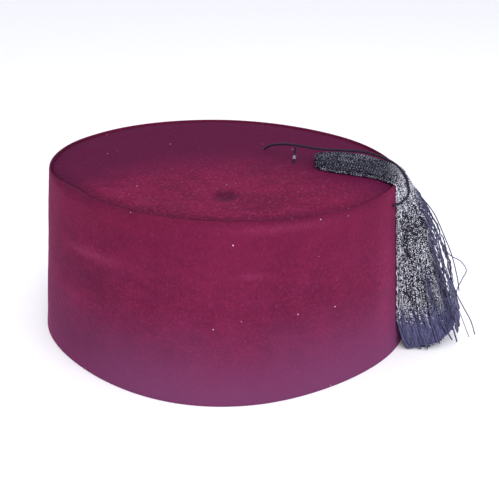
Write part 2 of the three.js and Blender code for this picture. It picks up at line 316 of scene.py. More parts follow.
class Value:
    """The output of a node, so that sums on it are written as sums."""

    def __init__(self, finish, socket):
        self.finish = finish
        self.socket = socket

    def __add__(self, other):
        return self.finish.maths("ADD", self, other)

    def __radd__(self, other):
        return self.finish.maths("ADD", other, self)

    def __sub__(self, other):
        return self.finish.maths("SUBTRACT", self, other)

    def __rsub__(self, other):
        return self.finish.maths("SUBTRACT", other, self)

    def __mul__(self, other):
        return self.finish.maths("MULTIPLY", self, other)

    def __rmul__(self, other):
        return self.finish.maths("MULTIPLY", other, self)

    def __pow__(self, other):
        return self.finish.maths("POWER", self, other)


class Finish:
    """A material, the nodes it is made of and its one shader."""

    def __init__(self, name, **constants):
        self.material = bpy.data.materials.new(name)
        self.material.use_nodes = True
        self.tree = self.material.node_tree
        self.tree.nodes.clear()
        self.shader = self.tree.nodes.new("ShaderNodeBsdfPrincipled")
        output = self.tree.nodes.new("ShaderNodeOutputMaterial")
        self.tree.links.new(self.shader.outputs["BSDF"], output.inputs["Surface"])
        for key, value in constants.items():
            self.shader.inputs[key.replace("_", " ")].default_value = value

    def node(self, kind, settings=None, sockets=None, give=0):
        """Adds a node, its settings first, then the values or links of its sockets."""
        node = self.tree.nodes.new(kind)
        for key, value in (settings or {}).items():
            setattr(node, key, value)
        for key, value in (sockets or {}).items():
            self.feed(node.inputs[key], value)
        return Value(self, node.outputs[give])

    def maths(self, operation, *values):
        return self.node("ShaderNodeMath", {"operation": operation}, dict(enumerate(values)))

    def feed(self, socket, value):
        if isinstance(value, Value):
            self.tree.links.new(value.socket, socket)
        else:
            socket.default_value = value

    def set(self, name, value):
        self.feed(self.shader.inputs[name], value)

    def place(self):
        return self.node("ShaderNodeTexCoord", give="Object")

    def grain(self, size, detail=3.0, roughness=0.55, stretch=(1.0, 1.0, 1.0)):
        """Soft noise whose lumps are about size metres across."""
        multiply = {"operation": "MULTIPLY"}
        place = self.node("ShaderNodeVectorMath", multiply, {0: self.place(), 1: stretch})
        sockets = {"Vector": place, "Scale": 1.0 / size, "Detail": detail, "Roughness": roughness}
        return self.node("ShaderNodeTexNoise", None, sockets)

    def ramp(self, value, low, high, bottom=0.0, top=1.0):
        settings = {"interpolation_type": "SMOOTHSTEP", "clamp": True}
        sockets = {"Value": value, "From Min": low, "From Max": high, "To Min": bottom, "To Max": top}
        return self.node("ShaderNodeMapRange", settings, sockets)

    def blend(self, share, first, second):
        """Mixes two colours."""
        settings = {"data_type": "RGBA", "blend_type": "MIX", "clamp_factor": True}
        first = first if isinstance(first, Value) else (*first, 1.0)
        second = second if isinstance(second, Value) else (*second, 1.0)
        return self.node("ShaderNodeMix", settings, {0: share, 6: first, 7: second}, give=2)

    def axis(self, name):
        return self.node("ShaderNodeSeparateXYZ", None, {0: self.place()}, give=name)

    def attribute(self, name):
        return self.node("ShaderNodeAttribute", {"attribute_name": name}, give="Fac")

    def relief(self, height, distance, strength):
        sockets = {"Height": height, "Distance": distance, "Strength": strength}
        self.set("Normal", self.node("ShaderNodeBump", None, sockets, give="Normal"))


def lint(finish, cell, size, share):
    """A mask of small specks, one in some of the cells."""
    cells = {"Vector": finish.place(), "Scale": 1.0 / cell}
    spread = finish.node("ShaderNodeTexVoronoi", {"feature": "F1"}, cells, give="Distance")
    chance = finish.node("ShaderNodeTexVoronoi", {"feature": "F1"}, cells, give="Color")
    chosen = finish.ramp(finish.node("ShaderNodeSeparateColor", None, {0: chance}), 1 - share, 1.0)
    return finish.ramp(spread, size / cell, 0.5 * size / cell) * chosen


def velvet(name, colour, deep, sheen):
    """Short velvet pile: brushed patches, fine grain and crushed hairs."""
    finish = Finish(name, Roughness=0.9, Sheen_Weight=sheen, Sheen_Roughness=0.4,
                    Sheen_Tint=(*SHEEN_TINT, 1.0), Specular_IOR_Level=0.06)
    patches = finish.grain(26 * MM, 2.0, 0.5)
    brushed_and_painted_light = finish.grain(8 * MM, 3.0, 0.6, (1.0, 1.0, 1.6))
    pile = finish.grain(1.5 * MM, 2.0, 0.7)
    hairs = finish.grain(0.6 * MM, 2.0, 0.7)
    shade = finish.ramp(patches * 0.35 + brushed_and_painted_light * 0.33 + pile * 0.32, 0.37, 0.6)
    tone = finish.blend(shade, deep, colour)
    cool = finish.ramp(finish.grain(11 * MM, 2.0, 0.6, (1.0, 1.0, 1.5)), 0.5, 0.72)
    tone = finish.blend(cool * 0.12, tone, PILE_COOL)
    tone = finish.blend(finish.ramp(pile, 0.55, 0.8) * 0.24, tone, PILE_BRIGHT)
    tone = finish.blend(finish.ramp(hairs, 0.56, 0.36) * 0.3, tone, PILE_PARTED)
    return finish, tone, pile, hairs


def flecked(finish, tone, share):
    """Short pale hairs and dust lying in the pile."""
    flecks = finish.ramp(finish.grain(1.6 * MM, 2.0, 0.6), 0.52, 0.78)
    tone = finish.blend(flecks * share, tone, FLECK)
    return finish.blend(lint(finish, 1.7 * MM, 0.45 * MM, 0.45) * share, tone, DUST)


def finish_velvet(finish, tone, pile, hairs):
    """The painted highlights and shade of the folds, partly brushed pile, the painted shade of the seam,
    partly crushed pile, the stray lint, and the relief of the pile.
    """
    # Painted highlights on the fold ridges and beside the tassel, painted shade in the fold hollows.
    brushed_and_painted_light = finish.attribute("brushed_and_painted_light")
    rough = finish.ramp(pile, 0.3, 0.7, 0.6, 1.2)
    tone = finish.blend(finish.ramp(brushed_and_painted_light, 0.0, 1.0) * rough * 0.3, tone, PAINTED_HIGHLIGHT)
    tone = finish.blend(finish.ramp(brushed_and_painted_light, 0.0, -1.0) * 0.3, tone, PAINTED_SHADE)
    # The seam's painted shade, partly its crushed pile, mottled a little.
    seam = finish.attribute("seam") * (0.75 + 0.5 * finish.grain(5 * MM))
    tone = finish.blend(seam, tone, SEAM_SHADE)
    tone = finish.blend(lint(finish, 4.2 * MM, 0.42 * MM, 0.1) * 0.8, tone, LINT_PALE)
    finish.set("Base Color", tone)
    finish.relief(pile * 0.6 + hairs * 0.4, 0.35 * MM, 0.6)
    return finish.material


def wall_velvet(colours):
    finish, tone, pile, hairs = velvet("wall_velvet", colours.velvet, colours.velvet_deep, 0.14)
    # Painted bounce light from the pale floor, lighter and purpler low on the wall, weaker at the left.
    low = finish.ramp(finish.axis("Z") + (finish.grain(30 * MM) - 0.5) * 0.02, 50 * MM, -3 * MM)
    low = low * finish.ramp(finish.axis("X"), -96 * MM, -30 * MM, 0.5, 1.0)
    tone = finish.blend(low * 0.85, tone, colours.velvet_floor_bounce)
    high = finish.ramp(finish.axis("Z"), 48 * MM, 82 * MM)
    tone = finish.blend(high * 0.4, tone, WALL_TOP)
    return finish_velvet(finish, flecked(finish, tone, 0.05), pile, hairs)


def crown_velvet(colours):
    finish, tone, pile, hairs = velvet("crown_velvet", colours.crown_front, colours.crown_deep, 0.03)
    inwards = finish.axis("Y") + 9.2 * (finish.axis("X") - 12 * MM) ** 2.0
    ragged = (finish.grain(16 * MM) - 0.5) * 0.03
    back = finish.ramp(inwards + ragged, -25 * MM, 35 * MM)
    tone = finish.blend(back, tone, colours.crown_back)
    tone = flecked(finish, tone, (1 - back) * 0.2 + 0.05)
    # Painted shade in the shallow dimple of the crown.
    across = (finish.axis("X") - DIMPLE[0]) ** 2.0 + 0.5 * (finish.axis("Y") - DIMPLE[1]) ** 2.0
    reach = 60 * MM * MM
    spot = finish.ramp(across + (finish.grain(3.5 * MM) - 0.5) * reach, reach, 0.0)
    tone = finish.blend(spot * 0.6, tone, DIMPLE_SHADE)
    return finish_velvet(finish, tone, pile, hairs)


def plain_felt(colours):
    finish = Finish("inner_felt", Roughness=0.96)
    fibres = finish.grain(1.6 * MM, 4.0, 0.7)
    patches = finish.grain(14 * MM)
    tone = finish.blend(finish.ramp(fibres * 0.6 + patches * 0.4, 0.4, 0.62), colours.felt, FELT_WORN)
    finish.set("Base Color", tone)
    finish.relief(fibres, 0.3 * MM, 0.6)
    return finish.material


def twisted_thread(colours):
    """Rayon thread. Each turn of its lay is a bead, and the lively share of the beads carries a painted
    glint.
    """
    finish = Finish("twisted_thread", Roughness=0.5, Specular_IOR_Level=0.06)
    lay = finish.attribute("lay")
    bead = finish.maths("FLOOR", lay)
    strand = finish.maths("ROUND", finish.attribute("strand"))
    cell = finish.node("ShaderNodeCombineXYZ", None, {0: bead, 1: strand})
    chance = finish.node("ShaderNodeTexWhiteNoise", None, {"Vector": cell})
    every_other = finish.maths("PINGPONG", bead, 1.0)
    even = finish.attribute("even") * 0.6
    chance = chance * (1 - even) + every_other * even
    other = finish.node("ShaderNodeTexWhiteNoise", None, {"Vector": cell}, give="Color")
    shine = finish.node("ShaderNodeSeparateColor", None, {0: other}, give="Green")
    middle = finish.maths("ABSOLUTE", lay - bead - 0.5)
    # The painted glints: each lit bead is painted bright in its middle.
    lit = finish.ramp(chance + finish.attribute("lively"), 0.96, 1.04)
    painted_glint = (lit * (0.55 + 0.45 * shine) + 0.08 * shine) * finish.ramp(middle, 0.52, 0.24)
    painted_glint = painted_glint * finish.attribute("glint")
    tone = finish.blend(finish.attribute("slate"), colours.thread_dark, colours.thread_slate)
    mottle = finish.ramp(finish.grain(1.3 * MM, 2.0, 0.6, (1.0, 1.0, 0.15)), 0.35, 0.65, 0.68, 1.2)
    tone = finish.node("ShaderNodeVectorMath", {"operation": "SCALE"}, {0: tone, "Scale": mottle})
    tone = finish.blend(painted_glint, tone, colours.thread_glint)
    finish.set("Base Color", tone)
    finish.relief(middle * -1.0, 0.1 * MM, 0.5)
    return finish.material


def tassel_ground(colours):
    finish = Finish("tassel_ground", Roughness=0.8)
    strands = finish.grain(1.0 * MM, 3.0, 0.6, (1.0, 1.0, 0.12))
    tone = finish.blend(finish.ramp(strands, 0.35, 0.65), CORE_DARK, colours.thread_dark)
    low = finish.ramp(finish.axis("Z"), 24 * MM, 8 * MM)
    tone = finish.blend(low, tone, colours.thread_slate)
    finish.set("Base Color", tone)
    finish.relief(strands, 0.4 * MM, 0.8)
    return finish.material


def fibrous(name, size, low, high, dark, light, deep, **constants):
    """Fine fibres in two tones."""
    finish = Finish(name, **constants)
    fibres = finish.grain(size, 3.0, 0.6)
    finish.set("Base Color", finish.blend(finish.ramp(fibres, low, high), dark, light))
    finish.relief(fibres, deep, 0.5)
    return finish.material


def waxed_cord(colours):
    constants = {"Roughness": 0.6, "Specular_IOR_Level": 0.25}
    return fibrous("waxed_cord", 0.3 * MM, 0.4, 0.75, colours.cord, CORD_WORN, 0.08 * MM, **constants)


def knot_thread():
    return fibrous("knot_thread", 0.25 * MM, 0.3, 0.7, KNOT_DARK, KNOT_PALE, 0.06 * MM, Roughness=0.55)


# Shapes


def climb(value, start, end):
    """0 at start and before it, 1 at end and beyond it, straight between. It may run downwards."""
    return np.clip((value - start) / (end - start), 0, 1)


def hump(value, middle, spread):
    return np.exp(-(((value - middle) / spread) ** 2))


def oval(angle, height, inset):
    """A point of the hat's outline at a height, drawn in by inset, before the lean."""
    share = height / HEIGHT
    a = RIM_HALF[0] + (TOP_HALF[0] - RIM_HALF[0]) * share
    b = RIM_HALF[1] + (TOP_HALF[1] - RIM_HALF[1]) * share
    pinch = RIM_PINCH + (TOP_PINCH - RIM_PINCH) * share
    draw = 1 - pinch * np.sin(2 * angle) ** 2
    change = -2 * pinch * np.sin(4 * angle)
    c, s = np.cos(angle), np.sin(angle)
    along_x = a * (c * change - s * draw)
    along_y = b * (c * draw + s * change)
    size = np.hypot(along_x, along_y)
    return a * c * draw - inset * along_y / size, b * s * draw + inset * along_x / size


def lean(x, z):
    return z - LEAN * x * z / HEIGHT


def bump_round(angle, centre, spread):
    turn = np.arctan2(np.sin(angle - math.radians(centre)), np.cos(angle - math.radians(centre)))
    return hump(turn, 0.0, math.radians(spread))


def fold_depth(angle, height):
    depth = 0.0
    for centre, spread, middle, tall, deep in FOLDS:
        depth = depth + deep * MM * bump_round(angle, centre, spread) * hump(height / MM, middle, tall)
    return depth


def lumps(points, size, seed):
    """Smooth noise from -1 to 1 at each point, with lumps of about size metres."""
    offset = Vector((seed * 7.1, seed * 3.3, seed * 5.7))
    flat = points.reshape(-1, 3) / size
    values = [noise.noise(Vector(point) + offset) for point in flat.tolist()]
    return np.array(values).reshape(points.shape[:-1])


def seam_inset(angle):
    inset = SEAM_INSET + 0.22 * MM * np.sin(5 * angle + 1.0) * np.sin(2 * angle)
    for centre, spread, extra in SEAM_WANDER:
        inset = inset + extra * MM * bump_round(angle, centre, spread)
    return inset


def crown_height(x, y, sink):
    out = np.minimum(1, np.hypot(x / TOP_HALF[0], y / TOP_HALF[1]))
    height = HEIGHT - LEAN * x - 0.4 * MM - sink * (1 - out**2)
    return height - 1.0 * MM * hump(x, DIMPLE[0], 5.0 * MM) * hump(y, DIMPLE[1], 6.5 * MM)


def ring_quads(rings, around, closed=False):
    """The faces between rings of points, numbered ring after ring."""
    count = rings if closed else rings - 1
    ring = np.arange(count)[:, None]
    spot = np.arange(around)[None, :]
    after = (spot + 1) % around
    upper = (ring + 1) % rings
    quads = [ring * around + spot, ring * around + after, upper * around + after, upper * around + spot]
    return np.stack(quads, axis=-1).reshape(-1, 4)


def mesh_of(name, points, quads, caps=()):
    """A smooth mesh from an array of points, four-sided faces and any larger caps."""
    mesh = bpy.data.meshes.new(name)
    faces = quads.tolist() + [cap.tolist() for cap in caps]
    mesh.from_pydata(points.tolist(), [], faces)
    mesh.polygons.foreach_set("use_smooth", np.ones(len(faces), dtype=bool))
    if mesh.validate():
        raise RuntimeError(f"{name} has faulty faces")
    return mesh


def hold(mesh, name, values, where="POINT"):
    store = mesh.attributes.new(name, "FLOAT", where)
    store.data.foreach_set("value", np.asarray(values, dtype=np.float32).ravel())


def seam_shade_strength(angle):
    """The seam's painted shade, partly crushed pile, is strongest at the front and fades round the back.
    """
    front = np.clip(0.5 - 0.8 * np.sin(angle), 0, 1)
    weak = 0.3 * bump_round(angle, -165, 12)
    weak = weak + 0.35 * bump_round(angle, -48, 18) + 0.4 * bump_round(angle, -20, 15)
    return 0.3 + 0.7 * front - weak


# Painted highlights and shade of the wall's folds at each point, partly brushed pile.
def painted_light_streaks(points):
    angle = np.arctan2(points[..., 1] / RIM_HALF[1], points[..., 0] / RIM_HALF[0])
    light = np.zeros(angle.shape)
    for centre, spread, middle, tall, strength in PAINTED_LIGHT_STREAKS:
        light += strength * bump_round(angle, centre, spread) * hump(points[..., 2] / MM, middle, tall)
    return light


def add_piece(name, mesh, materials, kinds=None):
    """Puts a mesh in the scene as a piece of the hat. kinds is the material of each face."""
    piece = bpy.data.objects.new(name, mesh)
    bpy.context.scene.collection.objects.link(piece)
    for material in materials:
        mesh.materials.append(material)
    if kinds is not None:
        mesh.polygons.foreach_set("material_index", kinds)
    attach(piece, "root")
    return piece


def way_length(way):
    return np.linalg.norm(np.diff(way, axis=0), axis=1).sum()


def smooth_way(points, step):
    """A smooth curve through the points, cut into even steps, as an array."""
    points = np.asarray(points, dtype=float)
    ends = np.vstack([2 * points[0] - points[1], points, 2 * points[-1] - points[-2]])
    parts = []
    for before, start, end, after in zip(ends[:-3], ends[1:-2], ends[2:-1], ends[3:]):
        t = np.linspace(0, 1, 16, endpoint=False)[:, None]
        square = (2 * before - 5 * start + 4 * end - after) * t**2
        cube = (3 * start - before - 3 * end + after) * t**3
        parts.append(0.5 * (2 * start + (end - before) * t + square + cube))
    fine = np.vstack([*parts, points[-1:]])
    run = np.concatenate([[0], np.cumsum(np.linalg.norm(np.diff(fine, axis=0), axis=1))])
    count = max(3, int(round(run[-1] / step)) + 1)
    even = np.linspace(0, run[-1], count)
    return np.stack([np.interp(even, run, fine[:, k]) for k in range(3)], axis=1)


def side_vectors(way):
    """Two vectors square to the way at each point, carried along it without twist."""
    ahead = np.gradient(way, axis=0)
    ahead /= np.linalg.norm(ahead, axis=1)[:, None]
    side = np.array((0.0, 0.0, 1.0))
    if abs(ahead[0] @ side) > 0.9:
        side = np.array((0.0, 1.0, 0.0))
    sides = np.empty_like(way)
    for i, direction in enumerate(ahead):
        side = side - direction * (side @ direction)
        side = side / np.linalg.norm(side)
        sides[i] = side
    return sides, np.cross(ahead, sides)


def tube(way, radii, corners=4, shift=None):
    """Rings of points round a way, each ring moved aside by shift."""
    side, up = side_vectors(way)
    around = np.arange(corners) * 2 * math.pi / corners
    radii = np.broadcast_to(radii, len(way))[:, None]
    across = radii * np.cos(around)
    over = radii * np.sin(around)
    if shift is not None:
        across = across + shift[0][:, None]
        over = over + shift[1][:, None]
    return way[:, None, :] + across[..., None] * side[:, None, :] + over[..., None] * up[:, None, :]


class Bundle:
    """Many tubes joined into one mesh, with the named marks held at each point. The lay counts the
    beads along a thread and round it, so it is held at each corner of a face."""

    def __init__(self, *names):
        self.points = []
        self.quads = []
        self.caps = []
        self.held = {name: [] for name in names}
        self.lays = []
        self.cap_lays = []
        self.count = 0

    def add(self, rings, lay=None, **held):
        length, corners = rings.shape[:2]
        if lay is not None:
            low = lay[:-1, None] + np.arange(corners) / corners
            high = lay[1:, None] + np.arange(corners) / corners
            part = 1 / corners
            self.lays.append(np.stack([low, low + part, high + part, high], axis=-1).ravel())
            self.cap_lays.extend([np.full(corners, lay[0]), np.full(corners, lay[-1])])
        self.points.append(rings.reshape(-1, 3))
        self.quads.append(ring_quads(length, corners) + self.count)
        self.caps.append(np.arange(corners)[::-1] + self.count)
        self.caps.append(np.arange(corners) + self.count + (length - 1) * corners)
        for name, values in held.items():
            self.held[name].append(np.repeat(values, corners))
        self.count += length * corners

    def mesh(self, name):
        mesh = mesh_of(name, np.vstack(self.points), np.vstack(self.quads), self.caps)
        for key, values in self.held.items():
            hold(mesh, key, np.concatenate(values))
        if self.lays:
            hold(mesh, "lay", np.concatenate(self.lays + self.cap_lays), "CORNER")
        return mesh


# The hat


def make_wall(sizes, colours):
    angle = np.arange(AROUND) * 2 * math.pi / AROUND
    thick = sizes.wall_thickness
    seam = seam_inset(angle)
    rows = []
    marks = []

    def row(height, inset, fold=1.0, skin=1.0, mark=0.0):
        marks.append(mark)
        pressed = fold * fold_depth(angle, np.mean(height))
        x, y = oval(angle, height, inset + pressed)
        points = np.stack([x, y, lean(x, height + 0 * x)], axis=1)
        rows.append((points, skin))

    row(0.4 * MM, thick - 0.05 * MM, skin=0)
    row(0.0, thick - 0.5 * MM, skin=0)
    row(0.0, 0.5 * MM, skin=0)
    row(0.16 * MM, 0.16 * MM, skin=0.2)
    row(0.6 * MM, 0.0, skin=0.5)
    for height in np.linspace(2 * MM, HEIGHT - 5.5 * MM, 56):
        row(height, 0.0)
    # Each row's mark is the seam's painted shade on the wall's shoulder, partly crushed pile.
    row(HEIGHT - 4.2 * MM, 0.0, mark=0.05)
    row(HEIGHT - 3.5 * MM, 0.0, mark=0.10)
    for turn in np.radians(np.linspace(8, 80, 9)):
        reach = SHOULDER + 0.5 * (seam - SEAM_INSET)
        rise = HEIGHT - 0.3 * MM - reach + reach * np.sin(turn)
        row(rise, seam * (1 - np.cos(turn)), 0.3, 0.6, 0.12 + 0.45 * float(np.sin(turn)) ** 1.3)
    row(HEIGHT - 0.5 * MM, seam - 0.12 * MM, 0, 0.2, 0.6)
    row(HEIGHT - 1.0 * MM, seam + 0.1 * MM, 0, 0, 0.8)
    row(HEIGHT - 2.2 * MM, seam + 0.15 * MM, 0, 0, 1.0)
    row(HEIGHT - 3.4 * MM, np.maximum(seam, thick), fold=0, skin=0)
    outer_rows = len(rows)
    for height in np.linspace(HEIGHT - 6 * MM, 2 * MM, 26):
        row(height, thick, skin=0)
    points = np.stack([points for points, _ in rows])
    skin = np.array([skin for _, skin in rows])[:, None]
    relief = 0.22 * lumps(points, 22 * MM, 1) + 0.07 * lumps(points, 7 * MM, 2)
    outward = np.stack([np.cos(angle), np.sin(angle), 0 * angle], axis=1)
    points = points + (relief * skin * MM)[..., None] * outward
    mesh = mesh_of("velvet_wall", points.reshape(-1, 3), ring_quads(len(rows), AROUND, closed=True))
    inside = np.zeros(len(mesh.polygons), dtype=np.int32)
    inside[(outer_rows - 1) * AROUND:] = 1
    # crisp and fading shape the seam's painted shade on the wall.
    crisp = 1 - 0.7 * bump_round(angle, -97, 28)  # at the front the dark ends sharply under the seam
    fading = np.array(marks)[:, None] < 0.55
    hold(mesh, "seam", np.outer(marks, seam_shade_strength(angle)) * np.where(fading, crisp, 1.0))
    # The painted highlights and shade of the folds, partly brushed pile.
    hold(mesh, "brushed_and_painted_light", painted_light_streaks(points))
    materials = [wall_velvet(colours), plain_felt(colours)]
    wall = add_piece("velvet_wall", mesh, materials, inside)
    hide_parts("side_wall")


def make_crown(sizes, colours):
    angle = np.arange(AROUND) * 2 * math.pi / AROUND
    edge = seam_inset(angle) + SEAM_GAP
    puckers = 0.10 * MM * np.sin(74 * angle + 2 * np.sin(9 * angle))
    rings = []
    marks = []

    def ring(inset, share, drop, mark=0.0):
        marks.append(mark)
        x, y = oval(angle, HEIGHT, inset)
        x, y = x * share, y * share
        rings.append(np.stack([x, y, crown_height(x, y, sizes.crown_sink) - drop], axis=1))

    shares = np.concatenate([np.linspace(0.012, 0.86, 50, endpoint=False), np.linspace(0.86, 1, 20)])
    # The crushed pile dips the crown's edge, and the same share paints the seam's shade there.
    for share in shares:
        from_edge = (1 - share) * TOP_HALF[1] / SEAM_REACH
        crushed = math.exp(-from_edge * from_edge)
        ring(edge + CROWN_TURN, share, crushed * (0.4 * puckers + 0.5 * MM), 0.38 * crushed)
    for turn in np.radians(np.linspace(12, 90, 9)):
        inset = edge + CROWN_TURN * (1 - np.sin(turn))
        drop = 0.5 * MM + 1.6 * MM * (1 - np.cos(turn)) + puckers
        ring(inset, 1.0, drop, 0.38 + 0.32 * float(np.sin(turn)))
    ring(edge, 1.0, sizes.crown_thickness + 0.12 * MM, 1.0)
    top_rings = len(rings)
    for share in np.linspace(1, 0.012, 22):
        ring(edge + 1.5 * MM, share, sizes.crown_thickness + 0.2 * MM)
    points = np.stack(rings)
    relief = 0.16 * lumps(points, 20 * MM, 4) + 0.06 * lumps(points, 6 * MM, 5)
    relief[top_rings:] = 0
    points[..., 2] += relief * MM
    caps = [np.arange(AROUND), np.arange(AROUND)[::-1] + (len(rings) - 1) * AROUND]
    quads = ring_quads(len(rings), AROUND)[:, ::-1]
    mesh = mesh_of("velvet_crown", points.reshape(-1, 3), quads, caps)
    inside = np.zeros(len(mesh.polygons), dtype=np.int32)
    inside[(top_rings - 1) * AROUND:] = 1
    inside[-2] = 0
    hold(mesh, "seam", np.outer(marks, seam_shade_strength(angle)))
    hold(mesh, "brushed_and_painted_light", np.zeros(points.shape[:-1]))
    materials = [crown_velvet(colours), plain_felt(colours)]
    crown = add_piece("velvet_crown", mesh, materials, inside)
    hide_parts("crown")


# The tassel


def angle_at(y, height, inset):
    """The place round the +X end where the outline has a given y."""
    low, high = -math.pi / 2, math.pi / 2
    for _ in range(30):
        middle = (low + high) / 2
        if oval(middle, height, inset)[1] < y:
            low = middle
        else:
            high = middle
    return (low + high) / 2


Section = namedtuple("Section", "height across ground outward near far deep lift body")


def tassel_sections(sizes):
    """For each row of the table, the hat's surface under it, the outward direction and the sizes."""
    sections = []
    for (inset, height, near, far, tip, deep), body in zip(TASSEL.tolist(), BODY_SHARE):
        across = np.linspace(near - 6, far + 6, 25) * MM
        from_edge, up = inset * MM, height * MM
        straight = oval(0.0, up, from_edge)[0]
        ground = []
        for y in across:
            x, edge_y = oval(angle_at(y, up, from_edge), up, from_edge)
            x = x + (straight - x) * min(1.0, inset / TASSEL[0][0])
            z = crown_height(x, edge_y, sizes.crown_sink) if from_edge > SEAM_INSET else lean(x, up)
            ground.append((x, edge_y, z))
        turn = math.radians(tip)
        heading = (math.cos(TASSEL_HEADING), math.sin(TASSEL_HEADING))
        outward = np.array((heading[0] * math.sin(turn), heading[1] * math.sin(turn), math.cos(turn)))
        lift = np.interp(height, STAND_OFF_Z, STAND_OFF)
        size = (near * MM, far * MM, deep * MM)
        sections.append(Section(height, across, np.array(ground), outward, *size, lift, body))
    return sections


def y_at(section, side, draw):
    """The Y at a side of a section, 1 at its far side and -1 at its near side, drawn in by a share."""
    return (section.near + section.far) / 2 + (section.far - section.near) / 2 * side * draw


def on_ground(section, y):
    """The place on the hat under a section at a given Y."""
    return np.stack([np.interp(y, section.across, section.ground[:, k]) for k in range(3)], axis=-1)


def tassel_outline():
    """The section's outer curve, from the far side over the top to the near side, as even steps of
    side, from 1 to -1, and share of the thickness. It is for a section about as thick as wide."""
    turn = np.linspace(0, math.pi, 400)
    c = np.cos(turn)
    side = np.sign(c) * np.abs(c) ** (2 / TASSEL_ROUND)
    share = TASSEL_FOOT + (1 - TASSEL_FOOT) * np.sin(turn) ** (2 / TASSEL_ROUND)
    run = np.concatenate([[0], np.cumsum(np.hypot(np.diff(side * 0.62), np.diff(share)))])
    even = np.linspace(0, run[-1], OUTLINE_POINTS)
    return np.interp(even, run, side), np.interp(even, run, share)


OUTLINE_SIDE, OUTLINE_SHARE = tassel_outline()


def on_tassel(sections, round_share, depths):
    """The way down the tassel at a share round its outer curve. A depth is 1 at the skin."""
    spots = np.linspace(0, 1, OUTLINE_POINTS)
    points = []
    for section, here, depth in zip(sections, np.clip(round_share, 0, 1), depths):
        side = np.interp(here, spots, OUTLINE_SIDE)
        share = section.lift + (1 - section.lift) * np.interp(here, spots, OUTLINE_SHARE)
        start = on_ground(section, y_at(section, side, 1 - (1 - depth) * 1.2))
        out = section.deep * share * depth * section.body
        points.append(start + section.outward * (TASSEL_CLEAR + out))
    return np.array(points)


def above_ends(way, end):
    """Which points of a way lie above the height where its thread ends."""
    return way[:, 2] > end + np.interp(way[:, 0] / MM, ENDS_X, ENDS_Z) * MM


def thread_look(way, near, rng, sizes):
    """The radii, the lay and the marks of one thread. near is 0 at the tassel's far side and 1 at
    its near side."""
    x, _, z = way.T / MM
    head = climb(z, 84, 90)
    low = climb(z, 24, 10)
    radii = 0.5 * (sizes.thread_width + (sizes.head_thread_width - sizes.thread_width) * head)
    radii = radii * rng.uniform(0.85, 1.12) * (1 + 1.6 * low)
    steps = np.linalg.norm(np.gradient(way, axis=0), axis=1)
    lay = np.cumsum(steps / (sizes.thread_turn * (1 + 0.4 * head))) + rng.uniform(0, 1)

    # Where the thread is, which sets its painted glints: in the head or the fall, on the bend, painted
    # brighter, on the fall's slate outer side and in the valley low in the fall, painted as shade without
    # glints, on the near rim, painted brighter, and on the head's far crest, painted as lit from above.
    in_head = head * climb(x, 94, 82)
    bend = hump(x, 88.5, 4.5) * climb(z, 72, 78)
    outer = climb(x - np.interp(-z, -EDGE_Z, EDGE_X), 0, 2.5) * climb(z, 91, 88)
    valley = hump(x, 107.8 + 0.33 * (31.5 - z), 2.2) * climb(z, 48, 38)
    rim = climb(near, 0.92, 0.97)
    crest = climb(near, 0.52, 0.32)

    fall = 0.57 - 0.2 * climb(near, 0.62, 0.74) + 0.18 * rim + 0.32 * bend
    fall = fall - (0.08 + 0.12 * climb(x, 94, 100)) * climb(z, 55, 65)
    lively = fall * (1 - in_head) + in_head * 0.3
    run = np.cumsum(steps) / MM
    slow = np.sin(run / rng.uniform(2.0, 4.5) + rng.uniform(0, WAVE_START))
    lively = lively * (1 + (rng.normal(0, 0.2) + 0.22 * slow) * (1 - in_head))

    stop = rng.uniform(11, 21)
    glint = (1 - 0.9 * outer) * (1 - 0.92 * valley) * (0.03 + 0.97 * climb(z, stop, stop + 8))
    # In the head the painted glints are brighter on the far crest, lit from above, and on the near rim.
    laid = (0.15 + 0.27 * crest + 0.2 * rim) * rng.uniform(0.5, 1.5) * (1 + 0.4 * slow)
    marks = {
        "lively": np.clip(lively, 0.02, 0.95),
        "even": 0.4 + 0.6 * in_head,
        "glint": glint * (1 - in_head) + laid * in_head,
        "slate": np.clip(climb(z, 28, 14) + 0.8 * outer + 0.6 * valley, 0, 1),
    }
    return radii, lay, marks


def crinkle(way, rng, reach):
    """Shakes a thread a little sideways, less towards its ends and in the head."""
    run = np.linspace(0, 1, len(way)) * way_length(way) / MM
    z = way[:, 2] / MM
    easy = climb(run, 0, 4) * np.maximum(climb(z, 6, 20), 0.15) * np.where(z > 86, 0.3, 1.0)
    shaken = way.copy()
    for axis, most in enumerate((1.0, 1.0, 0.5)):
        for length, share in ((rng.uniform(3.2, 5.0), 0.6), (rng.uniform(7, 12), 0.8)):
            wave = np.sin(2 * math.pi * run / length + rng.uniform(0, WAVE_START))
            shaken[:, axis] += most * share * reach * easy * wave
    return shaken


def add_thread(bundle, way, near, rng, sizes):
    radii, lay, marks = thread_look(way, near, rng, sizes)
    radii = radii * np.minimum(1, np.arange(len(way))[::-1] / 2 + 0.3)
    strand = np.full(len(way), float(rng.integers(1, 4000)))
    bundle.add(tube(way, radii), lay, strand=strand, **marks)


def row_wave(rng, number, least, most, in_head, in_fall):
    """A wave down the rows, of random length and start."""
    wave = np.sin(number * rng.uniform(least, most) + rng.uniform(0, WAVE_START))
    return np.where(number < BEND_ROW, in_head, in_fall) * wave


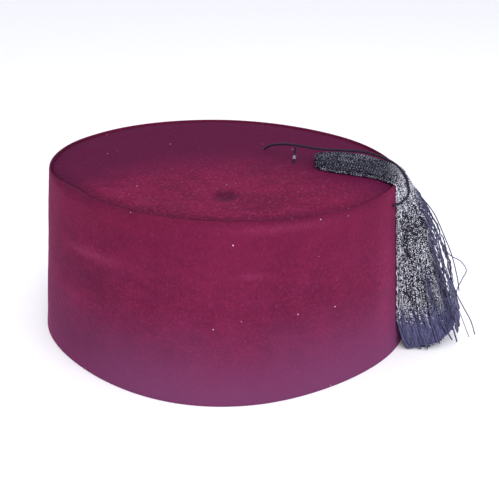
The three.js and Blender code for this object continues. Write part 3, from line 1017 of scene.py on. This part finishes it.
def tassel_ways(sections, count, first, depths, rng, step):
    """The ways of a layer of threads, spread round the tassel from a first row to its ends."""
    number = np.arange(len(sections))
    ways = []
    for k in range(count):
        share = (k + 0.5 + rng.uniform(-0.35, 0.35)) / count
        drift = rng.normal(0, 0.02) * np.clip(number - BEND_ROW, 0, 20) / 6
        sway = row_wave(rng, number, 0.45, 0.9, 0.003, 0.014)
        row_share = (math.floor(share * HEAD_ROWS) + 0.5) / HEAD_ROWS + rng.normal(0, 0.0025)
        round_share = row_share + (share - row_share) * climb(number, 4, 7) + drift + sway
        depth = np.interp(number, depths[0], depths[1]) + rng.normal(0, 0.012)
        depth = depth + row_wave(rng, number, 0.5, 1.1, 0.004, 0.012)
        points = on_tassel(sections, round_share, np.clip(depth, 0, 1.0))[first:]
        if first == 0:
            points[0, 0] += rng.uniform(-0.8, 0.8) * MM
        way = smooth_way(points, step)
        end = 0.9 * math.sin(9.0 * share + 1.0) + 0.7 * math.sin(23.0 * share) + rng.uniform(0.6, 2.2)
        end = max(0.0, end + rng.choice([0.0, rng.uniform(-3, 5)], p=[0.85, 0.15])) * MM
        way = crinkle(way, rng, 0.26 * MM)
        x, _, z = way.T / MM
        over_seam = climb(share, 0.88, 0.96) * hump(x, 89.6, 3.6) * climb(z, 84, 88)
        way[:, 2] -= 1.2 * MM * over_seam
        keep = above_ends(way, end)
        keep[: len(way) // 2] = True
        stop = len(way) if keep.all() else int(np.argmin(keep))
        ways.append((way[: max(8, stop)], share))
    return ways


def make_core(sections, colours):
    """The tassel's dark body under its threads."""
    pick = np.linspace(0, OUTLINE_POINTS - 1, 40).round().astype(int)
    rings = []
    for section in sections:
        y = y_at(section, OUTLINE_SIDE[pick], 0.9)
        share = section.lift + (1 - section.lift) * OUTLINE_SHARE[pick]
        out = section.deep * share * (0.86 + 0.02 * climb(section.height, 24, 8)) * section.body
        outer = on_ground(section, y) + section.outward * (TASSEL_CLEAR + out)[:, None]
        back = on_ground(section, np.linspace(y[-1], y[0], 12)[1:-1])
        back = back + section.outward * (TASSEL_CLEAR + section.deep * section.lift)
        rings.append(np.vstack([outer, back]))
    rings = np.stack(rings)
    raised = (np.interp(rings[..., 0] / MM, ENDS_X, ENDS_Z) + 1.2) * MM * climb(rings[..., 2], 45 * MM, 0)
    rings[CORE_STEPPED_FROM:, :, 2] += raised[CORE_STEPPED_FROM:]
    rings[0, :, 0] += 1.2 * MM
    around = rings.shape[1]
    caps = [np.arange(around)[::-1], np.arange(around) + (len(rings) - 1) * around]
    mesh = mesh_of("tassel_ground", rings.reshape(-1, 3), ring_quads(len(rings), around), caps)
    core = add_piece("tassel_ground", mesh, [tassel_ground(colours)])
    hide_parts("tassel")


def make_loose(sections, thread, rng, sizes):
    """The strands that hang free of the fall's body, in pairs."""
    bundle = Bundle(*THREAD_MARKS)
    heights = TASSEL[:, 1]
    for across, outs in LOOSE:
        for twin in range(2):
            out = np.interp(-heights, -LOOSE_HEIGHTS, outs) + rng.normal(0, 0.05) * twin
            side = across + rng.normal(0, 0.03) + 0.06 * twin
            points = []
            for section, share in list(zip(sections, out))[LOOSE_FROM:]:
                body = section.body * 0.94
                reach = section.deep * (body + (1.0 - body) * share - 0.02)
                start = on_ground(section, y_at(section, side, 0.92))
                points.append(start + section.outward * (TASSEL_CLEAR + reach))
            way = crinkle(smooth_way(points, THREAD_STEP), rng, 0.3 * MM)
            way = way[above_ends(way, rng.uniform(0.0, 4.0) * MM)]
            add_thread(bundle, way, 0.5, rng, sizes)
    add_piece("tassel_loose_strands", bundle.mesh("tassel_loose_strands"), [thread])


def make_tassel(sizes, colours):
    sections = tassel_sections(sizes)
    thread = twisted_thread(colours)
    rng = np.random.default_rng(TASSEL_SEED)
    make_core(sections, colours)
    # Each layer: its name, its threads, its first row, its depth by row, and the step along a thread.
    fall_depths = ((5, 7, 9, 20), (0.62, 0.86, 0.96, 0.965))
    layers = (
        ("long", sizes.long_threads, 0, ((0, 20), (0.965, 0.975)), THREAD_STEP),
        ("fall", sizes.fall_threads, BEND_ROW - 1, fall_depths, THREAD_STEP),
        ("under", sizes.under_threads, BEND_ROW, ((6, 9, 20), (0.66, 0.9, 0.91)), 1.2 * THREAD_STEP),
    )
    for layer, count, first, depths, step in layers:
        halves = {"far": Bundle(*THREAD_MARKS), "near": Bundle(*THREAD_MARKS)}
        for way, near in tassel_ways(sections, count, first, depths, rng, step):
            add_thread(halves["near" if near > 0.5 else "far"], way, near, rng, sizes)
        for side, bundle in halves.items():
            name = f"tassel_{layer}_threads_{side}"
            add_piece(name, bundle.mesh(name), [thread])
    make_loose(sections, thread, rng, sizes)


def make_strays(sizes, colours):
    bundle = Bundle(*THREAD_MARKS)
    for width, points in STRAYS:
        way = smooth_way(np.array(points) * MM, THREAD_STEP)
        same = np.ones(len(way))
        marks = {name: 0.0 * same for name in THREAD_MARKS} | {"strand": same, "slate": 0.8 * same}
        bundle.add(tube(way, 0.5 * width * MM, corners=5), 0.0 * same, **marks)
    thread = bpy.data.materials["twisted_thread"]
    add_piece("tassel_strays", bundle.mesh("tassel_strays"), [thread])


# Cord and stem


def make_cord(sizes, colours):
    """Three strands laid round each other."""
    way = smooth_way(CORD_ROUTE, 0.22 * MM)
    length = float(way_length(way))
    run = np.linspace(0, 1, len(way)) * length
    strand = sizes.cord_width * 0.29
    offset = sizes.cord_width * 0.21
    bundle = Bundle()
    for k in range(3):
        lay = 2 * math.pi * (run / (3.4 * MM) + k / 3)
        bundle.add(tube(way, strand, corners=6, shift=(offset * np.cos(lay), offset * np.sin(lay))))
    cord = add_piece("black_cord", bundle.mesh("black_cord"), [waxed_cord(colours)])
    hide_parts("cord")


def make_stem(sizes, colours):
    """A shank of two laid threads with a knot wound round it."""
    way = smooth_way([STEM_FOOT, (STEM_FOOT + STEM_HEAD) / 2, STEM_HEAD], 0.15 * MM)
    length = np.linalg.norm(STEM_HEAD - STEM_FOOT)
    run = np.linspace(0, 1, len(way)) * length
    bundle = Bundle()
    for k in range(2):
        lay = 2 * math.pi * (run / (1.6 * MM) + k / 2)
        shift = (0.26 * MM * np.cos(lay), 0.26 * MM * np.sin(lay))
        bundle.add(tube(way, 0.34 * MM, corners=8, shift=shift))
    shank_faces = sum(len(quads) for quads in bundle.quads)
    middle = STEM_FOOT + (STEM_HEAD - STEM_FOOT) * KNOT_PLACE
    up = (STEM_HEAD - STEM_FOOT) / length
    side = np.cross(up, (1.0, 0.0, 0.0))
    side /= np.linalg.norm(side)
    over = np.cross(up, side)
    wind = np.linspace(0, 2 * math.pi * KNOT_TURNS, 150)
    rise = np.linspace(-0.85, 0.85, 150) * MM
    reach = 0.62 * MM * np.sqrt(np.clip(1 - (rise / (1.25 * MM)) ** 2, 0.05, 1))
    turns = middle + rise[:, None] * up
    turns = turns + (reach * np.cos(wind))[:, None] * side + (reach * np.sin(wind))[:, None] * over
    bundle.add(tube(turns, 0.34 * MM, corners=8))
    mesh = bundle.mesh("cord_stem")
    kinds = np.zeros(len(mesh.polygons), dtype=np.int32)
    quads = sum(len(q) for q in bundle.quads)
    kinds[shank_faces:quads] = 1
    stem = add_piece("cord_stem", mesh, [waxed_cord(colours), knot_thread()], kinds)
    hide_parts("stem")


# The stage


def make_camera(colours):
    data = bpy.data.cameras.new("camera")
    data.sensor_fit = "HORIZONTAL"
    data.sensor_width = 36.0
    data.lens = colours.lens
    data.clip_start = 0.01
    camera = bpy.data.objects.new("camera", data)
    turn = Euler((math.radians(90 - CAMERA_HEIGHT), 0, math.radians(CAMERA_HEADING))).to_matrix()
    turn = turn @ Matrix.Rotation(math.radians(CAMERA_ROLL), 3, "Z")
    place = Vector(CAMERA_AIM) + turn @ Vector((0, 0, CAMERA_DISTANCE))
    camera.matrix_world = Matrix.Translation(place) @ turn.to_4x4()
    bpy.context.scene.collection.objects.link(camera)
    bpy.context.scene.camera = camera


def add_light(name, place, target, size, power, tint):
    data = bpy.data.lights.new(name, "AREA")
    data.shape = "RECTANGLE"
    data.size, data.size_y = size
    data.energy = power
    data.color = tint
    light = bpy.data.objects.new(name, data)
    light.location = place
    aim = Vector(target) - Vector(place)
    light.rotation_euler = aim.to_track_quat("-Z", "Y").to_euler()
    bpy.context.scene.collection.objects.link(light)


def make_floor():
    points = np.array([(-1, -1, 0), (1, -1, 0), (1, 1, 0), (-1, 1, 0)], dtype=float) * FLOOR_HALF
    points[:, 2] = FLOOR_Z
    mesh = mesh_of("floor", points, np.array([[0, 1, 2, 3]]))
    finish = Finish("pale_floor", Roughness=0.7)
    finish.set("Base Color", (*FLOOR_PALE, 1.0))
    mesh.materials.append(finish.material)
    floor = bpy.data.objects.new("floor", mesh)
    bpy.context.scene.collection.objects.link(floor)


def make_stage(sizes, colours):
    make_camera(colours)
    make_floor()
    world = bpy.data.worlds.new("studio")
    bpy.context.scene.world = world
    world.use_nodes = True
    background = world.node_tree.nodes["Background"]
    background.inputs["Color"].default_value = (*SKY_PALE, 1.0)
    background.inputs["Strength"].default_value = 1.0
    for lamp in LAMPS:
        add_light(*lamp)
    bpy.context.scene.view_settings.view_transform = "Standard"


# The add-on


class FEZ_OT_stage(Operator):
    """Put up the camera, the lights and the pale floor"""

    bl_idname = "fez.stage"
    bl_label = "Stage"
    bl_options = {"REGISTER", "UNDO"}

    def execute(self, context):
        make_stage(context.scene.fez_sizes, context.scene.fez_finishes)
        return {"FINISHED"}


class FEZ_OT_cord(Operator):
    """Lay the cord from the crown to the wall"""

    bl_idname = "fez.cord"
    bl_label = "Cord"
    bl_options = {"REGISTER", "UNDO"}

    def execute(self, context):
        make_cord(context.scene.fez_sizes, context.scene.fez_finishes)
        return {"FINISHED"}


class FEZ_OT_stem(Operator):
    """Set the stem and its knot under the cord"""

    bl_idname = "fez.stem"
    bl_label = "Stem"
    bl_options = {"REGISTER", "UNDO"}

    def execute(self, context):
        make_stem(context.scene.fez_sizes, context.scene.fez_finishes)
        return {"FINISHED"}


class FEZ_OT_wall(Operator):
    """Shape the velvet side wall with its shoulder, rim and inner felt"""

    bl_idname = "fez.wall"
    bl_label = "Side wall"
    bl_options = {"REGISTER", "UNDO"}

    def execute(self, context):
        make_wall(context.scene.fez_sizes, context.scene.fez_finishes)
        return {"FINISHED"}


class FEZ_OT_crown(Operator):
    """Shape the velvet crown and its seam"""

    bl_idname = "fez.crown"
    bl_label = "Crown"
    bl_options = {"REGISTER", "UNDO"}

    def execute(self, context):
        make_crown(context.scene.fez_sizes, context.scene.fez_finishes)
        return {"FINISHED"}


class FEZ_OT_tassel(Operator):
    """Twist and hang the tassel's threads"""

    bl_idname = "fez.tassel"
    bl_label = "Tassel"
    bl_options = {"REGISTER", "UNDO"}

    def execute(self, context):
        make_tassel(context.scene.fez_sizes, context.scene.fez_finishes)
        return {"FINISHED"}


class FEZ_OT_strays(Operator):
    """Pull a few stray threads out of the tassel"""

    bl_idname = "fez.strays"
    bl_label = "Stray threads"
    bl_options = {"REGISTER", "UNDO"}

    def execute(self, context):
        make_strays(context.scene.fez_sizes, context.scene.fez_finishes)
        return {"FINISHED"}


STEPS = (FEZ_OT_stage, FEZ_OT_cord, FEZ_OT_stem, FEZ_OT_wall, FEZ_OT_crown, FEZ_OT_tassel, FEZ_OT_strays)


class FEZ_PT_panel(Panel):
    """Lists the steps and the sizes in the sidebar"""

    bl_idname = "FEZ_PT_panel"
    bl_label = "Fez hat"
    bl_space_type = "VIEW_3D"
    bl_region_type = "UI"
    bl_category = "Fez"

    def draw(self, context):
        for step in STEPS:
            self.layout.operator(step.bl_idname)
        for group in (context.scene.fez_sizes, context.scene.fez_finishes):
            for key in type(group).__annotations__:
                self.layout.prop(group, key)


CLASSES = (FEZ_PG_sizes, FEZ_PG_finishes, *STEPS, FEZ_PT_panel)


def register():
    for kind in CLASSES:
        bpy.utils.register_class(kind)
    bpy.types.Scene.fez_sizes = PointerProperty(type=FEZ_PG_sizes)
    bpy.types.Scene.fez_finishes = PointerProperty(type=FEZ_PG_finishes)


def unregister():
    del bpy.types.Scene.fez_finishes
    del bpy.types.Scene.fez_sizes
    for kind in reversed(CLASSES):
        bpy.utils.unregister_class(kind)


def main():
    register()
    for step in STEPS:
        operator = getattr(bpy.ops.fez, step.bl_idname.split(".")[1])
        if operator() != {"FINISHED"}:
            raise RuntimeError(f"{step.bl_label} was not made")


if __name__ == "__main__":
    main()
